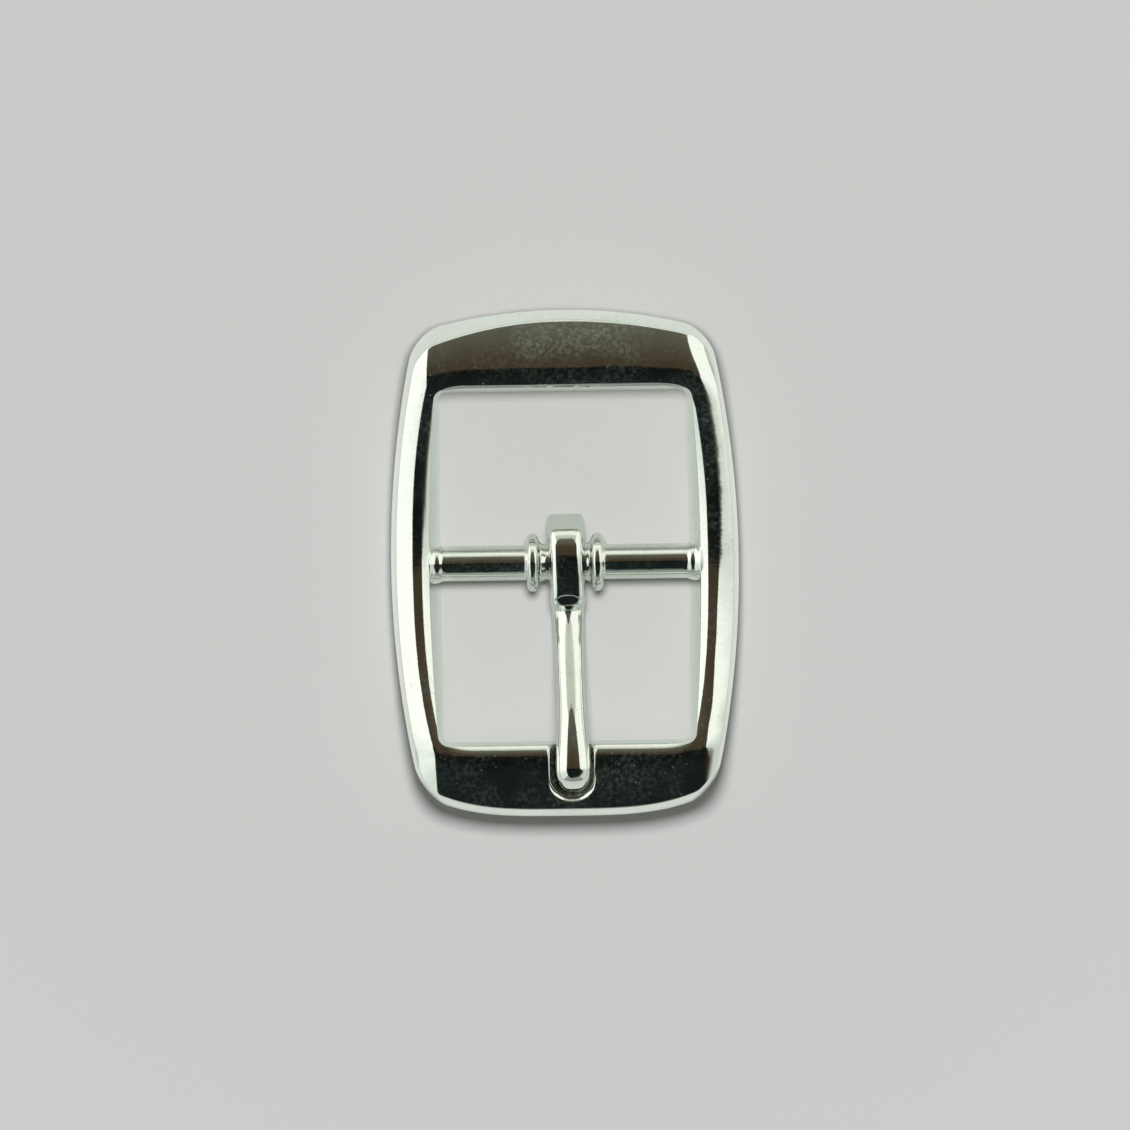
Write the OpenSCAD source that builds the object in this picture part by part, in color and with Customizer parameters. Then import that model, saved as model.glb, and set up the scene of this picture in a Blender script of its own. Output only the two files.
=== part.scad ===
// Centre-bar strap buckle with a swan-neck tongue.
// The buckle lies on its back: X runs along the bar, Y along the strap, Z up.
// The origin is on the surface under the middle of the frame. The tongue's tip points to -Y.

/* [Frame outline] */
// Width of the frame across its bowed sides
frame_w = 36.4; // [35:0.1:38]
// Length of the frame over both end rails
frame_l = 53; // [52:0.5:56]
// Width of the window, a little over the width of the strap
window_w = 26; // [25:0.1:26.6]
// Reach of the window from the bar towards the upper end rail
window_up = 17.9; // [17.5:0.1:18.2]
// Reach of the window from the bar towards the lower end rail
window_down = 18.7; // [18.2:0.1:19]
// Radius of the frame's outer corners
corner_r = 3.2; // [2.6:0.1:4]

/* [Rails] */
// Height of the side rails' crest beside the bar
crest_h = 5.7; // [5.5:0.1:5.9]
// Distance of the side rails' crest from the outer edge
crest_inset = 2.8; // [2.6:0.1:3]
// Radius of the side rails' rounded crest
crown_r = 1.5; // [1.2:0.1:1.8]
// Width of an end rail's bevelled outer edge
bevel_w = 1.1; // [0.8:0.1:1.4]
// Radius of the upward curve of the front, seen from the side
dish_r = 110; // [100:5:140]
// Radius of the upward curve of the back
back_r = 75; // [70:5:90]

/* [Bar and collars] */
// Diameter of the centre bar
bar_d = 3.66; // [3.2:0.02:3.8]
// Height of the bar's axis above the surface
bar_z = 3.1; // [3.1:0.05:3.3]
// Diameter of the two collars that keep the tongue in the middle
collar_d = 6.1; // [5.6:0.1:6.1]
// Distance from the middle of the bar to the middle of each collar
collar_x = 3.38; // [3.3:0.02:3.8]

/* [Tongue] */
// Width of the tongue's head
head_w = 3.8; // [3.4:0.1:4]
// Radial clearance of the tongue's bore on the bar
bore_play = 0.09; // [0.05:0.01:0.1]
// Turn of the tongue about Z, as it lies in its notch
tongue_yaw = 1.1; // [0:0.1:1.5]

/* [Hidden] */

nickel = [0.84, 0.86, 0.84];
nickel_shade = [0.70, 0.73, 0.71];

// Steps along one quarter of an outline: straight side, corner, straight end.
side_steps = 7;
corner_steps = 7;
end_steps = 6;

half_w = frame_w / 2;
half_l = frame_l / 2;
window_a = window_w / 2;

// Reach of the crest, of the face's edge and of the window's front edge: at the sides, up and down.
crest_a = half_w - crest_inset;
crest_up = window_up + 2.1;
crest_down = window_down + 1.95;
face_a = half_w - 0.54;
face_up = half_l - bevel_w - 0.18;
face_down = half_l - bevel_w + 0.32;
lip_a = window_a + 1.17;
lip_up = window_up + 0.1;
lip_down = window_down + 0.25;

// Corner radii of the outlines inside the outer one.
face_corner_r = 2.4;
crest_corner_r = 2.2;
lip_corner_r = 1;
window_corner_r = 0.85;

// How far the sides bow in towards the corners, and the upper and lower ends, as shares of their reach.
outer_bows = [0.156, 0.083, 0.093];
face_bows = [0.14, 0.127, 0.1];
crest_bows = [0.118, 0, 0];
lip_bows = [0.06, 0, 0];
side_power = 2;
upper_power = 2;
lower_power = 3.5;

// Where the crest runs: its bow, and the reach beyond which it crosses the end rail straight.
crest_bow = 0.135;
crest_bow_at = 19.9;
crest_power = 2.5;
crest_held_up = 18.6;
crest_held_down = 20;

// The slopes on both sides of the crest, each a tight curve and then an easier one.
crest_tilt = 18;
outer_tilt = 42;
inner_tilt = 40;
upper_lip_r = 0.6;
upper_lip_tilt = 68;
upper_lip_reach = 0.66;
upper_lip_from = 15;
upper_lip_over = 3;
outer_reach = face_a - crest_a;
inner_reach = crest_a - lip_a;
shoulder_up = window_up + 0.85;
shoulder_down = window_down + 1.35;
shoulder_r = 2.9;

// The end rails' crown, and how far its line turns towards the window at the corners.
end_crown_r = 16;
crown_turn = 1.6;
crown_turn_power = 4;

// The front rises and the back lifts as a circle as far as level_from, and both run level from level_at.
level_from = 17.6;
level_at = 20;
// How far the back's curve dips below the surface, where it is ground flat.
ground_dip = 0.35;
ground_margin = 0.3;
back_edge = 0.4;

// Heights at the bevel's foot, beside the bar and at the ends, and the bevel's swell.
foot_side = 2.9;
foot_end = 2.4;
bevel_swell = 0.15;
end_from = 19;
end_over = 4;

// The notch for the tongue's tip, a round groove with a round end, a little off the centreline.
notch_r = 2.35;
notch_x = 0.42;
notch_z = 7.65;
notch_end = half_l - 4.05;

// The tongue's head sits a little off the middle, as its play on the bar lets it.
head_x = 0.16;
ring_points = 20;

function lerp(a, b, t) = a + (b - a) * t;
function soft(t) = let(c = min(1, max(0, t))) c * c * (3 - 2 * c);

function rise(y, r) =
    let(
        level_span = level_at - level_from,
        past = min(max(abs(y) - level_from, 0), level_span)
    )
    pow(min(abs(y), level_from), 2) / (2 * r) + level_from / r * (past - past * past / (2 * level_span));

function slope_drop(d, reach, radius, edge_tilt) =
    let(
        tight = radius * sin(crest_tilt),
        wide = (reach - tight) / (sin(edge_tilt) - sin(crest_tilt)),
        s = sin(crest_tilt) + (min(d, reach) - tight) / wide
    )
    d < tight
        ? radius - sqrt(radius * radius - d * d)
        : radius * (1 - cos(crest_tilt)) + wide * (cos(crest_tilt) - sqrt(1 - s * s))
            + max(0, d - reach) * tan(edge_tilt);

// Distance of the crest from the middle of the frame.
function crest_x(y) =
    let(held = min(abs(y), y > 0 ? crest_held_up : crest_held_down))
    crest_a * (1 - crest_bow * pow(held / crest_bow_at, crest_power));

// How far a point lies inside the line where the slope to the window starts.
function inside_shoulder(x, y) =
    let(
        px = abs(x) - crest_x(y) + shoulder_r,
        py = abs(y) - (y > 0 ? shoulder_up : shoulder_down) + shoulder_r
    )
    max(0, shoulder_r - norm([max(px, 0), max(py, 0)]) - min(max(px, py), 0));

// Height of the front face before it is dished.
function front(x, y) =
    let(
        past = abs(y) - (y > 0 ? crest_up : crest_down) + crown_turn * pow(x / crest_a, crown_turn_power),
        near_lip = soft((y - upper_lip_from) / upper_lip_over)
    )
    crest_h - pow(max(0, past), 2) / (2 * end_crown_r)
        - slope_drop(max(0, abs(x) - crest_x(y)), outer_reach, crown_r, outer_tilt)
        - slope_drop(
            inside_shoulder(x, y), lerp(inner_reach, upper_lip_reach, near_lip),
            lerp(crown_r, upper_lip_r, near_lip), lerp(inner_tilt, upper_lip_tilt, near_lip)
        );

// One quarter of an outline before bowing, from the side's middle to the end's middle.
function quarter(a, b, r) = concat(
    [for (i = [0:side_steps - 1]) [a, (b - r) * i / side_steps]],
    [for (i = [0:corner_steps])
        let(t = 90 * i / corner_steps)
        [a - r + r * cos(t), b - r + r * sin(t)]],
    [for (i = [1:end_steps]) [(a - r) * (1 - i / end_steps), b]]
);

function half_outline(a, b, r) =
    let(q = quarter(a, b, r))
    concat(q, [for (i = [len(q) - 2:-1:1]) [-q[i].x, q[i].y]]);

function bowed(p, a, b, side_bow, end_bow, end_power) =
    [
        p.x * (1 - side_bow * pow(abs(p.y) / b, side_power)),
        p.y * (1 - end_bow * pow(abs(p.x) / a, end_power))
    ];

// An outline's points in the plan, from its half width, reach up and down, corner radius and bows.
function plan(a, up, down, r, bows) = concat(
    [for (p = half_outline(a, up, r)) bowed(p, a, up, bows[0], bows[1], upper_power)],
    [for (p = half_outline(a, down, r)) bowed(-p, a, down, bows[0], bows[2], lower_power)]
);

function face_plan(t) = plan(
    lerp(crest_a, face_a, t), lerp(crest_up, face_up, t), lerp(crest_down, face_down, t),
    lerp(crest_corner_r, face_corner_r, t), lerp(crest_bows, face_bows, t)
);
function bevel_plan(t) = plan(
    lerp(face_a, half_w, t), lerp(face_up, half_l, t), lerp(face_down, half_l, t),
    lerp(face_corner_r, corner_r, t), lerp(face_bows, outer_bows, t)
);
function inner_plan(t) = plan(
    lerp(crest_a, lip_a, t), lerp(crest_up, lip_up, t), lerp(crest_down, lip_down, t),
    lerp(crest_corner_r, lip_corner_r, t), lerp(crest_bows, lip_bows, t)
);

function on_front(points) = [for (p = points) [p.x, p.y, front(p.x, p.y) + rise(p.y, dish_r)]];
function on_back(points, z) = [for (p = points) [p.x, p.y, z - ground_dip + rise(p.y, back_r)]];

EDGE = on_front(face_plan(1));

// From the face's edge down the bevel to its foot, t from 0 to 1.
function bevel_loop(t) =
    let(points = bevel_plan(t))
    [for (i = [0:len(points) - 1])
        let(
            p = points[i],
            foot = lerp(foot_side, foot_end, soft((abs(p.y) - end_from) / end_over)) + rise(p.y, dish_r)
        )
        [p.x, p.y, lerp(EDGE[i].z, foot, t) + bevel_swell * sin(180 * t)]];

// Steps of the rail's section, as shares of the way down the bevel, out over the face and in to the window.
BEVEL_STEPS = [1, 0.72, 0.4, 0.1];
FACE_STEPS = [1, 0.85, 0.7, 0.5, 0.3, 0.15, 0];
INNER_STEPS = [0.35, 0.6, 0.8, 1];
NO_BOWS = [0, 0, 0];

// From the back of the rail round its outside, over its front and down to the window.
RAIL_LOOPS = concat(
    [
        on_back(plan(
            window_a + ground_margin, window_up + ground_margin, window_down + ground_margin,
            lip_corner_r, NO_BOWS
        ), 0),
        on_back(plan(half_w - back_edge, half_l - back_edge, half_l - back_edge, corner_r, outer_bows), 0),
        on_back(bevel_plan(1), back_edge)
    ],
    [for (t = BEVEL_STEPS) bevel_loop(t)],
    [for (t = FACE_STEPS) on_front(face_plan(t))],
    [for (t = INNER_STEPS) on_front(inner_plan(t))],
    [on_back(plan(window_a, window_up, window_down, window_corner_r, NO_BOWS), back_edge)]
);

module rail_ring() {
    count = len(RAIL_LOOPS[0]);
    total = len(RAIL_LOOPS);
    points = [for (loop = RAIL_LOOPS) for (p = loop) p];
    faces = [
        for (j = [0:total - 1], i = [0:count - 1])
            let(
                k = (i + 1) % count,
                m = (j + 1) % total,
                a = j * count + i,
                b = j * count + k,
                c = m * count + k,
                d = m * count + i
            )
            each [[a, c, b], [a, d, c]]
    ];
    polyhedron(points, faces, convexity = 6);
}

module along_x(x0, x1, r) {
    translate([x0, 0, bar_z])
        rotate([0, 90, 0])
            cylinder(r = r, h = x1 - x0, $fn = 64);
}

// Turned about the bar's axis: the bar's root flares into a low boss at the side rail.
module bar_root() {
    boss_r = bar_d / 2 + 0.13;
    fillet_r = 0.75;
    fillet_at = bar_d / 2 + 0.46;
    root_x = window_a + 0.35;
    root_depth = 1.3;
    translate([0, 0, bar_z])
        rotate([0, 90, 0])
            rotate_extrude($fn = 64)
                difference() {
                    translate([0, root_x - fillet_r])
                        square([boss_r, fillet_r + root_depth]);
                    translate([fillet_at, root_x - fillet_r])
                        circle(r = fillet_r, $fn = 48);
                }
}

// A disc with a fully rounded rim.
module collar() {
    rim_r = 0.76;
    rim_at = collar_d / 2 - rim_r;
    translate([0, 0, bar_z])
        rotate([0, 90, 0])
            rotate_extrude($fn = 64) {
                translate([rim_at, 0])
                    circle(r = rim_r, $fn = 48);
                translate([0, -rim_r])
                    square([rim_at, 2 * rim_r]);
            }
}

module half_bar() {
    root_depth = 1.6;
    along_x(0, window_a + root_depth, bar_d / 2);
    translate([collar_x, 0, 0])
        collar();
    bar_root();
}

module notch() {
    opening = 3;
    translate([notch_x, -notch_end, notch_z]) {
        sphere(r = notch_r, $fn = 64);
        rotate([-90, 0, 0])
            cylinder(r = notch_r, h = notch_end - window_down + opening, $fn = 64);
    }
}

module frame() {
    color(nickel)
        difference() {
            union() {
                rail_ring();
                half_bar();
                mirror([1, 0, 0])
                    half_bar();
            }
            notch();
            translate([-half_w, -half_l, -frame_l])
                cube([frame_w, frame_l, frame_l]);
        }
}

// Sections of the tongue from the tip to the back of the head.
// Columns: place along Y, top and bottom above the bar's axis, half width, squareness.
TONGUE_ROWS = [
    [-23.98, 3.30, 3.05, 0.36, 2.1],
    [-23.88, 3.72, 2.95, 0.74, 2.1],
    [-23.68, 4.22, 2.87, 1.04, 2.1],
    [-23.40, 4.67, 2.80, 1.31, 2.1],
    [-22.65, 5.54, 2.71, 1.70, 2.1],
    [-22.10, 5.87, 2.68, 1.83, 2.1],
    [-21.60, 5.97, 2.67, 1.87, 2.1],
    [-20.40, 5.89, 2.67, 1.85, 2.0],
    [-19.20, 5.72, 2.66, 1.74, 2.0],
    [-18.00, 5.48, 2.60, 1.60, 2.0],
    [-16.70, 5.14, 2.37, 1.51, 2.0],
    [-15.40, 4.70, 1.97, 1.46, 2.0],
    [-14.00, 4.12, 1.38, 1.46, 2.0],
    [-8.00, 1.38, -1.26, 1.55, 1.8],
    [-7.00, 0.93, -1.68, 1.59, 1.65],
    [-6.20, 0.60, -2.02, 1.63, 1.6],
    [-5.60, 0.41, -2.30, 1.66, 1.6],
    [-5.10, 0.35, -2.52, 1.70, 1.8],
    [-4.86, 1.05, -2.62, 1.73, 2.6],
    [-4.68, 1.98, -2.70, 1.75, 3.3],
    [-3.60, 2.44, -2.88, 1.80, 3.8],
    [-1.60, 2.84, -2.90, 0.5 * head_w, 4.0],
    [0.60, 2.96, -2.90, 0.5 * head_w, 4.0],
    [1.70, 2.91, -2.88, 0.5 * head_w, 4.0],
    [2.65, 2.62, -2.80, 0.5 * head_w, 4.0],
    [3.45, 2.11, -2.62, 0.49 * head_w, 3.8],
    [4.25, 1.28, -2.28, 0.48 * head_w, 3.6],
    [4.85, 0.10, -1.75, 0.46 * head_w, 3.4],
    [5.10, -0.75, -1.15, 0.42 * head_w, 3.2]
];

// A round section that turns square as its squareness grows.
function section(row) =
    let(
        middle = (row[1] + row[2]) / 2,
        half_h = (row[1] - row[2]) / 2
    )
    [for (i = [0:ring_points - 1])
        let(
            t = 360 * (i + 0.5) / ring_points,
            u = sign(cos(t)) * pow(abs(cos(t)), 2 / row[4]),
            v = sign(sin(t)) * pow(abs(sin(t)), 2 / row[4])
        )
        [row[3] * u, row[0], middle + half_h * v]];

module tongue_body() {
    rings = [for (row = TONGUE_ROWS) section(row)];
    last = len(rings) - 1;
    points = [for (ring = rings) for (p = ring) p];
    sides = [
        for (j = [0:last - 1], i = [0:ring_points - 1])
            let(
                k = (i + 1) % ring_points,
                a = j * ring_points + i,
                b = j * ring_points + k,
                c = a + ring_points,
                d = b + ring_points
            )
            each [[a, b, d], [a, d, c]]
    ];
    tip_cap = [for (i = [ring_points - 1:-1:0]) i];
    back_cap = [for (i = [0:ring_points - 1]) last * ring_points + i];
    polyhedron(points, concat(sides, [tip_cap], [back_cap]), convexity = 6);
}

module tongue() {
    color(nickel_shade)
        difference() {
            translate([head_x, 0, bar_z])
                rotate([0, 0, tongue_yaw])
                    tongue_body();
            along_x(-head_w, head_w, bar_d / 2 + bore_play);
        }
}

frame();
tongue();
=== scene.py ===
# %% [markdown]
# # A cast strap buckle with a centre bar
#
# The real buckle is two die castings in bright nickel plate: a frame, with its bar and two collars in one
# piece, and a tongue that swings on the bar. Both are polished almost to a mirror, so the look is made by
# two things: the exact slope of every surface, and what the surroundings show there. The CAD model is
# loaded first as a fixed frame, and each Blender piece takes the place of one of its solids.

# %% Load the fixed frame
import math

import bmesh
import bpy
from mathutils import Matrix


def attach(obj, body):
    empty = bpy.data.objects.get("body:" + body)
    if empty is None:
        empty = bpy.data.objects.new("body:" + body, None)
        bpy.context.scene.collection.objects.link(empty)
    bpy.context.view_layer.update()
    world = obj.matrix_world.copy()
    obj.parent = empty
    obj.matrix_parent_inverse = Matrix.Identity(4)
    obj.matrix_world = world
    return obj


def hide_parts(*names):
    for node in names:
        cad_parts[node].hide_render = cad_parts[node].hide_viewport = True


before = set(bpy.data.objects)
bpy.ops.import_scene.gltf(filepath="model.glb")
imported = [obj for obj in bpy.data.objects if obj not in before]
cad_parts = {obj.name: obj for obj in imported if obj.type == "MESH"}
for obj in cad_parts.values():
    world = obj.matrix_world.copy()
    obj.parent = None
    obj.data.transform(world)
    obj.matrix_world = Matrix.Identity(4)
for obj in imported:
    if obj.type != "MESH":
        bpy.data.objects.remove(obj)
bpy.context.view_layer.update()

MM = 0.001

# %% [markdown]
# ## Small helpers
#
# Polishing takes the kinks out of a casting, and a mirror would show every one. So the changes along the
# rails are blended: straight, or soft, which starts and ends level. Where two surfaces meet, the lower one
# counts, and the corner between them is rounded over a small width, as a polishing wheel leaves it.

# %% Blending


def blend(a, b, t):
    return a + (b - a) * t


def soft(t):
    t = min(1.0, max(0.0, t))
    return t * t * (3 - 2 * t)


def lower_of(a, b, width):
    """The lower of two values, with the corner between them rounded over the width."""
    h = min(1.0, max(0.0, 0.5 + 0.5 * (b - a) / width))
    return b + (a - b) * h - width * h * (1 - h)


print("a soft change at each quarter:", [round(soft(quarter / 4), 3) for quarter in range(5)])

# %% [markdown]
# ## Growing a casting loop by loop
#
# A rail with a changing section is easiest to grow as it would be by hand: add a circle, put its points
# where the first outline runs, then extrude the loop, place the new points, and go on until the skin is
# whole. The same helper makes the frame's ring, which closes on itself, and the bar and the tongue, which
# end in a cap. An operator works on whatever is selected, and loading leaves the CAD nodes selected, so
# everything is deselected first.

# %% Selecting and placing a loop


def select_none():
    if bpy.context.object and bpy.context.object.mode != "OBJECT":
        bpy.ops.object.mode_set(mode="OBJECT")
    bpy.ops.object.select_all(action="DESELECT")


def place(points, ring):
    for vertex, point in zip(ring, points):
        vertex.co = [v * MM for v in point]


def select_ring(mesh, indices):
    """Selects a closed loop of points and the edges between them."""
    mesh.verts.ensure_lookup_table()
    ring = [mesh.verts[index] for index in indices]
    for a, b in zip(ring, ring[1:] + ring[:1]):
        a.select = True
        mesh.edges.get((a, b)).select = True


select_none()
print("selected before the first piece:", len(bpy.context.selected_objects))

# %% Growing a skin


def grow(name, loops, closed):
    """A skin through loops of points in mm, closed from the last loop to the first or capped at both ends."""
    select_none()
    bpy.ops.mesh.primitive_circle_add(vertices=len(loops[0]), radius=MM, fill_type="NOTHING")
    piece = bpy.context.object
    piece.name = piece.data.name = name
    bpy.ops.object.mode_set(mode="EDIT")
    bpy.ops.mesh.select_mode(type="VERT")
    mesh = bmesh.from_edit_mesh(piece.data)
    mesh.verts.ensure_lookup_table()
    ring = list(mesh.verts)
    place(loops[0], ring)
    first = [v.index for v in ring]
    for points in loops[1:]:
        bpy.ops.mesh.extrude_edges_move()
        mesh = bmesh.from_edit_mesh(piece.data)
        ring = [next(e.other_vert(v) for e in v.link_edges if e.other_vert(v).select) for v in ring]
        place(points, ring)
    if closed:
        select_ring(mesh, first)
        bmesh.update_edit_mesh(piece.data)
        bpy.ops.mesh.bridge_edge_loops()
    else:
        bpy.ops.mesh.edge_face_add()
        bpy.ops.mesh.select_all(action="DESELECT")
        mesh = bmesh.from_edit_mesh(piece.data)
        select_ring(mesh, first)
        bmesh.update_edit_mesh(piece.data)
        bpy.ops.mesh.edge_face_add()
    bpy.ops.mesh.select_all(action="SELECT")
    bpy.ops.mesh.normals_make_consistent(inside=False)
    bpy.ops.object.mode_set(mode="OBJECT")
    print(name, "grown from", len(loops), "loops of", len(loops[0]), "points")
    return piece


# %% [markdown]
# ## The frame's sizes
#
# They are the CAD model's own, in millimetres, except that the notch's groove is a hair narrower, to leave
# room for the bevel round its rim. The window takes a 25 mm strap, and the two end rails are about four times
# as wide as the side rails' rounded top. From the side the whole frame is dished: it rises towards both ends,
# so the strap runs under the end rails and over the bar.

# %% Sizes of the frame
# Each outline has a half width, and a reach from the bar's axis to the upper and to the lower end.
half_w, half_up, half_down = 18.2, 26.35, 26.5
window_a, window_up, window_down = 13.0, 17.9, 18.7
bar_z, bar_r = 3.1, 1.83

# The rail's crest, the front face's outer edge, and its lip at the window.
crest_h = 5.7
crest_a, crest_up, crest_down = half_w - 2.8, window_up + 2.1, window_down + 1.95
face_a, face_up, face_down = 17.66, 25.22, 25.72
inner_a, inner_up, inner_down = 14.17, 18.0, 18.95

# The dish is part of a circle on the front and on the back. The front turns level between two places.
front_curve, back_curve = 110.0, 75.0
level_from, level_at_up, level_at_down = 17.6, 20.9, 20.0
ground_dip = 0.35

# The notch is a round groove with a ball end, and a narrow bevel round its rim.
notch_r, notch_x, notch_z, notch_end = 2.3, 0.42, 7.6, 22.42
notch_rim_r, notch_rim_slope, notch_rim_blend = 2.56, math.tan(math.radians(35)), 0.05
print("frame:", 2 * half_w, "by", half_up + half_down, "mm")
print("window:", 2 * window_a, "by", round(window_up + window_down, 2), "mm")

# %% [markdown]
# ## The front face
#
# The front is one dished surface, lowered by three things: the end rails' gentle crown, the slope outside
# the side rails' crest, and the slope down to the window. Each slope turns down in a tight curve and then
# an easier one, because that is what the real rail's sharp dark line with bright sides shows. The end rails
# stay flat across their width, and meet the side rails' slope in a soft crease.

# %% Slopes and turns of the front face
crest_radius, crest_tilt = 1.5, math.radians(18)
upper_lip_radius, upper_lip_tilt, upper_lip_reach = 0.6, math.radians(68), 0.66
outer_tilt, inner_tilt = math.radians(42), math.radians(40)
outer_reach, inner_reach = face_a - crest_a, crest_a - inner_a
end_crown, crown_turn, crown_turn_power = 16.0, 1.6, 4

# The crest bows in towards the ends up to where it is held, and from there it runs on straight.
crest_bow, crest_bow_at, crest_bow_power = 0.135, 19.9, 2.5
crest_held_left, crest_held_right, crest_held_down, held_corner = 18.6, 22.5, 20.0, 1.6
# The inner slope starts at the shoulder, a rectangle with rounded corners.
shoulder_up, shoulder_down, shoulder_r = 18.75, 20.05, 2.9

# How much each thing changes, where along the frame it starts, and over what length.
lip_from, lip_over = 15, 3
right_flare, flare_from, flare_over = 0.36, 17.3, 3.2
right_wider_up, wider_up_from, wider_up_over = 1.2, -6, 10
right_wider_down, wider_down_from, wider_down_over = 1.0, 10, 6
print("face outside and inside the crest:", round(outer_reach, 2), "and", round(inner_reach, 2), "mm wide")

# %% The dish and the slopes


def rise(y, curve):
    """The dish, which rises as a circle and then turns level before it reaches the end rails' faces."""
    level_at = level_at_up if y > 0 else level_at_down
    y = abs(y)
    if y <= level_from:
        return y * y / (2 * curve)
    span = level_at - level_from
    past = min(y, level_at) - level_from
    slope = level_from / curve
    return level_from**2 / (2 * curve) + slope * (past - past * past / (2 * span))


def slope_drop(d, reach, radius, edge_tilt):
    """The drop at distance d down a slope: a tight curve to crest_tilt, then an easier one to edge_tilt."""
    if d > reach:
        return slope_drop(reach, reach, radius, edge_tilt) + (d - reach) * math.tan(edge_tilt)
    crest_sin, edge_sin = math.sin(crest_tilt), math.sin(edge_tilt)
    tight = radius * crest_sin
    if d < tight:
        return radius - math.sqrt(radius**2 - d * d)
    wide_radius = (reach - tight) / (edge_sin - crest_sin)
    here = crest_sin + (d - tight) / wide_radius
    crest_cos = math.cos(crest_tilt)
    return radius * (1 - crest_cos) + wide_radius * (crest_cos - math.sqrt(1 - here * here))


print("the front rises", round(rise(half_up, front_curve), 2), "mm from the bar to the upper end")

# %% The crest and the shoulder


def crest_x(x, y):
    """How far the crest is from the middle here. It bows in towards the ends, then crosses them straight."""
    if y > 0:
        held = lower_of(y, crest_held_right, held_corner) if x > 0 else min(y, crest_held_left)
    else:
        held = min(-y, crest_held_down)
    flare = right_flare * soft((-y - flare_from) / flare_over) if x > 0 else 0.0
    return crest_a * (1 - crest_bow * (held / crest_bow_at) ** crest_bow_power) + flare


def crest_outer_radius(x, y):
    """The crest turns down more gently on the right side, most of all towards the ends."""
    if x < 0:
        return crest_radius
    wider_up = right_wider_up * soft((y - wider_up_from) / wider_up_over)
    return crest_radius + wider_up + right_wider_down * soft((-y - wider_down_from) / wider_down_over)


def inside_shoulder(x, y):
    """How far a point lies inside the line where the inner slope starts, a rectangle with rounded corners."""
    reach = shoulder_up if y > 0 else shoulder_down
    past_x, past_y = abs(x) - crest_x(x, y) + shoulder_r, abs(y) - reach + shoulder_r
    outside = math.hypot(max(past_x, 0.0), max(past_y, 0.0)) + min(max(past_x, past_y), 0.0) - shoulder_r
    return max(0.0, -outside)


print("crest at the bar and the upper end:", round(crest_x(1, 0), 2), round(crest_x(1, half_up), 2), "mm out")

# %% Height of the front face


def front(x, y):
    """The height of the front face above the back, before the dish lifts it."""
    past = abs(y) - (crest_up if y > 0 else crest_down) + crown_turn * (x / crest_a) ** crown_turn_power
    crown = max(0.0, past) ** 2 / (2 * end_crown)
    outer = slope_drop(max(0.0, abs(x) - crest_x(x, y)), outer_reach, crest_outer_radius(x, y), outer_tilt)
    near_lip = soft((y - lip_from) / lip_over)
    inner = slope_drop(
        inside_shoulder(x, y), blend(inner_reach, upper_lip_reach, near_lip),
        blend(crest_radius, upper_lip_radius, near_lip), blend(inner_tilt, upper_lip_tilt, near_lip),
    )
    return crest_h - crown - outer - inner


print("height at crest, edge and lip:", [round(front(x, 0), 2) for x in (crest_a, face_a, inner_a)], "mm")

# %% [markdown]
# ## The section of a rail
#
# A row is one outline round the whole frame at one place of the rail's section. It holds a half width, the
# reach towards each end, a corner radius, how far the sides and ends bow, and what gives its height. The
# rows go from the back round the outside, up the bevel, over the front and down into the window.

# %% Points of an outline
side_steps, corner_steps, end_steps, beside_notch_steps = 18, 13, 14, 9
# The notch gets a point every four degrees of its groove, and a few at a fine step beside its rim.
fine_step = 0.1
notch_columns = [notch_x + notch_r * math.sin(math.radians(a)) for a in range(-78, 79, 4)]
notch_columns = [notch_columns[0] - fine_step * i for i in (6, 4, 3, 2, 1)] + notch_columns
notch_columns += [notch_columns[-1] + fine_step * i for i in (1, 2, 3, 4, 6)]


def straight_path(a, up, down, r):
    """A rounded rectangle's points, from the right side round by the upper end, more of them at the notch."""
    turn = [math.pi / 2 * i / corner_steps for i in range(corner_steps + 1)]
    turn = [(a - r + r * math.cos(t), r - r * math.sin(t)) for t in turn]
    points = [(a, (up - r) * i / side_steps) for i in range(side_steps)]
    points += [(x, up - y) for x, y in turn]
    points += [((a - r) * (1 - i / end_steps), up) for i in range(1, 2 * end_steps)]
    points += [(-x, up - y) for x, y in turn[::-1]]
    points += [(-a, (up - r) * (1 - i / side_steps)) for i in range(1, side_steps + 1)]
    points += [(-a, -(down - r) * i / side_steps) for i in range(1, side_steps)]
    points += [(-x, y - down) for x, y in turn]
    beside_notch = [i / beside_notch_steps for i in range(1, beside_notch_steps)]
    points += [(blend(r - a, notch_columns[0], t), -down) for t in beside_notch]
    points += [(x, -down) for x in notch_columns]
    points += [(blend(notch_columns[-1], a - r, t), -down) for t in beside_notch]
    points += [(x, y - down) for x, y in turn[::-1]]
    points += [(a, -(down - r) * (1 - i / side_steps)) for i in range(1, side_steps)]
    return points


print("an outline has", len(straight_path(half_w, half_up, half_down, 3)), "points")

# %% A row's plan and its heights
# How fast the bow of the upper and of the lower end grows from the middle.
upper_power, lower_power = 2, 3.5


def row(a, up, down, r, side_bow, end_bows, height, back=False):
    return dict(a=a, up=up, down=down, r=r, side_bow=side_bow, end_bows=end_bows, height=height, back=back)


def plan(spec):
    """The row's points (x, y), with its sides and ends bowed."""
    points = []
    for x, y in straight_path(spec["a"], spec["up"], spec["down"], spec["r"]):
        reach = spec["up"] if y > 0 else spec["down"]
        bow_left, bow_right, bow_down = spec["end_bows"]
        bow, power = (bow_right if x > 0 else bow_left, upper_power) if y > 0 else (bow_down, lower_power)
        sag = bow * abs(x / spec["a"]) ** power
        points.append((x * (1 - spec["side_bow"] * (y / reach) ** 2), y * (1 - sag)))
    return points


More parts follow.
